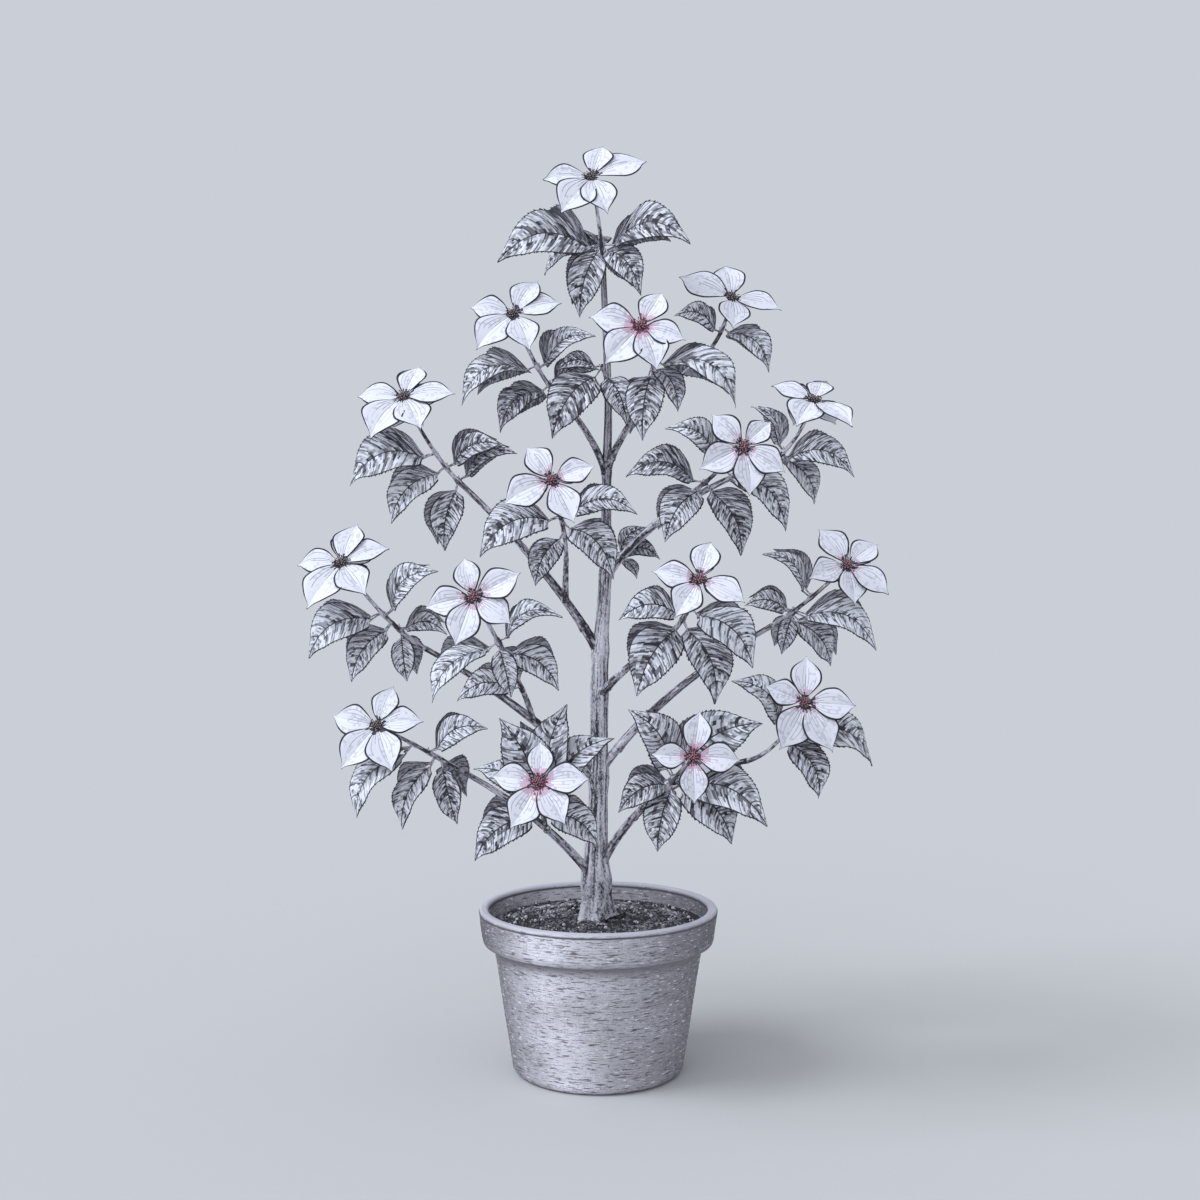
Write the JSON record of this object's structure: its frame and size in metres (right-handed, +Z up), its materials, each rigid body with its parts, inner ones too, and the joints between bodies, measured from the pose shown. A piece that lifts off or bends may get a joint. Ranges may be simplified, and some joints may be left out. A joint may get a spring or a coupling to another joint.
{
  "type": "flowering dogwood tree in a clay pot",
  "caption": "Young flowering dogwood standing in a round clay pot: one slim trunk, upswept boughs, and leafy shoots that each end in a pale star-shaped bloom.",
  "frame": {"origin": "middle of the pot's flat underside", "axes": "+Z up along the trunk, -Y the plant's front, +X to its right"},
  "size_m": [0.6256, 0.4502, 0.9668],
  "materials": {
    "clay": "weathered unglazed clay, matt, fine pits",
    "soil": "dry crumbly potting soil",
    "bark": "grey bark with fine upright furrows",
    "foliage": "matt grey-green leaves with sunk veins",
    "bract": "soft white petal-like bracts with faint veins",
    "floret": "dark crimson button of tiny florets"
  },
  "bodies": {
    "root": {"bough_high_back_left": "bark", "bough_high_back_right": "bark", "bough_high_front_left": "bark", "bough_high_front_right": "bark", "bough_high_left": "bark", "bough_high_rear_left": "bark", "bough_high_rear_right": "bark", "bough_high_right": "bark", "bough_low_back_left": "bark", "bough_low_back_right": "bark", "bough_low_front_left": "bark", "bough_low_front_right": "bark", "bough_low_left": "bark", "bough_low_right": "bark", "bough_mid_back_left": "bark", "bough_mid_back_right": "bark", "bough_mid_front_left": "bark", "bough_mid_front_right": "bark", "bough_mid_left": "bark", "bough_mid_rear_left": "bark", "bough_mid_rear_right": "bark", "bough_mid_right": "bark", "bough_top_back": "bark", "bough_top_front": "bark", "bough_top_left": "bark", "bough_top_right": "bark", "foliage_crest": "foliage", "foliage_high_back_left": "foliage", "foliage_high_back_right": "foliage", "foliage_high_front_left": "foliage", "foliage_high_front_right": "foliage", "foliage_high_left": "foliage", "foliage_high_rear_left": "foliage", "foliage_high_rear_right": "foliage", "foliage_high_right": "foliage", "foliage_low_back_left": "foliage", "foliage_low_back_right": "foliage", "foliage_low_front_left": "foliage", "foliage_low_front_right": "foliage", "foliage_low_left": "foliage", "foliage_low_right": "foliage", "foliage_mid_back_left": "foliage", "foliage_mid_back_right": "foliage", "foliage_mid_front_left": "foliage", "foliage_mid_front_right": "foliage", "foliage_mid_left": "foliage", "foliage_mid_rear_left": "foliage", "foliage_mid_rear_right": "foliage", "foliage_mid_right": "foliage", "foliage_sprig_middle": "foliage", "foliage_sprig_upper": "foliage", "foliage_top_back": "foliage", "foliage_top_front": "foliage", "foliage_top_left": "foliage", "foliage_top_right": "foliage", "pot": "clay", "soil": "soil", "trunk": "bark"}
  },
  "joints": []
}
